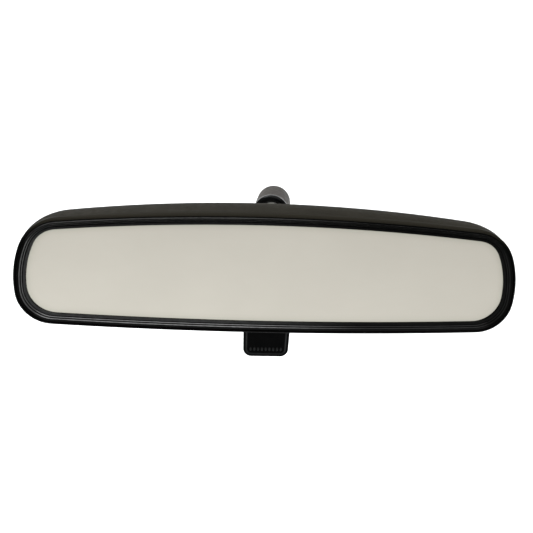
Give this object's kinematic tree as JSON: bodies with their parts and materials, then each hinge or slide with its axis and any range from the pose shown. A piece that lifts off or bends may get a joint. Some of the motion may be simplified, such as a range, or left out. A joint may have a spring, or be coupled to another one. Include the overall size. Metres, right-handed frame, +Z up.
{
  "type": "interior rearview mirror",
  "caption": "Wide day and night prism mirror in a black bezel and matt case, on a double ball arm with a slide-on windshield button mount and a toggle tab.",
  "frame": {"origin": "centre of the windshield button's bonding face", "axes": "+X to the driver's right along the mirror, +Y forward and away from the driver, +Z up, with the glass upright and facing -Y"},
  "size_m": [0.2572, 0.138, 0.0879],
  "materials": {
    "case_plastic": "fine grained matt",
    "bezel_plastic": "semi-gloss black",
    "mirror_glass": "silvered prism glass",
    "film_plastic": "grey safety film",
    "foam": "closed-cell foam",
    "pin_steel": "drawn steel",
    "toggle_plastic": "satin black",
    "bracket_nylon": "glass-filled nylon",
    "bush_nylon": "natural nylon",
    "spring_steel": "tempered spring steel",
    "stud_steel": "zinc plated steel",
    "seat_nylon": "black acetal",
    "tube_paint": "satin grey-brown paint",
    "collar_black": "gloss black",
    "mount_zinc": "black painted die casting",
    "button_metal": "sintered metal"
  },
  "bodies": {
    "windshield_mount": {"windshield_button": "button_metal", "channel_mount": "mount_zinc", "mount_set_screw": "stud_steel", "rear_ball_stud": "stud_steel"},
    "rear_seat": {"rear_seat_ring": "seat_nylon"},
    "stay_arm": {"stay_tube": "tube_paint", "front_collar": "collar_black", "rear_collar": "tube_paint", "arm_spring": "spring_steel", "rear_spring_cup": "seat_nylon"},
    "front_cup": {"front_spring_cup": "seat_nylon"},
    "front_seat": {"front_seat_ring": "seat_nylon"},
    "pivot_bracket": {"pivot_bracket": "bracket_nylon", "tilt_bushes": "bush_nylon", "detent_spring": "spring_steel", "front_ball_stud": "stud_steel", "stud_washer": "pin_steel", "stud_nut": "stud_steel"},
    "mirror_head": {"rear_case": "case_plastic", "front_bezel": "bezel_plastic", "prism_glass": "mirror_glass", "backing_film": "film_plastic", "foam_pads": "foam", "tilt_pin": "pin_steel", "toggle_pin": "pin_steel", "pin_clips": "spring_steel"},
    "toggle": {"toggle_lever": "toggle_plastic"}
  },
  "joints": [
    {"name": "arm_swing", "type": "hinge", "parent": "windshield_mount", "child": "rear_seat", "pos_m": [-0.00264, -0.03776, 0.01027], "axis": [0, 0, 1], "range_deg": [-15, 15]},
    {"name": "arm_tilt", "type": "hinge", "parent": "rear_seat", "child": "stay_arm", "pos_m": [-0.00264, -0.03776, 0.01027], "axis": [1, 0, 0], "range_deg": [-25, 8]},
    {"name": "head_roll", "type": "hinge", "parent": "stay_arm", "child": "front_cup", "pos_m": [-0.00577, -0.07147, 0.01341], "axis": [0.092, 0.9915, -0.0924], "range_deg": [-15, 15]},
    {"name": "head_swing", "type": "hinge", "parent": "front_cup", "child": "front_seat", "pos_m": [-0.00577, -0.07147, 0.01341], "axis": [0, 0, 1], "range_deg": [-20, 10]},
    {"name": "head_tilt", "type": "hinge", "parent": "front_seat", "child": "pivot_bracket", "pos_m": [-0.00577, -0.07147, 0.01341], "axis": [1, 0, 0], "range_deg": [-20, 12]},
    {"name": "day_night_tilt", "type": "hinge", "parent": "pivot_bracket", "child": "mirror_head", "pos_m": [-0.00807, -0.11297, 0.01551], "axis": [-1, 0, 0], "range_deg": [0, 4]},
    {"name": "toggle_flip", "type": "hinge", "parent": "mirror_head", "child": "toggle", "pos_m": [-0.00807, -0.10897, -0.02549], "axis": [-1, 0, 0], "range_deg": [0, 38]}
  ],
  "couplings": [
    {"joint": "toggle_flip", "follows": "day_night_tilt", "ratio": 9.5}
  ]
}
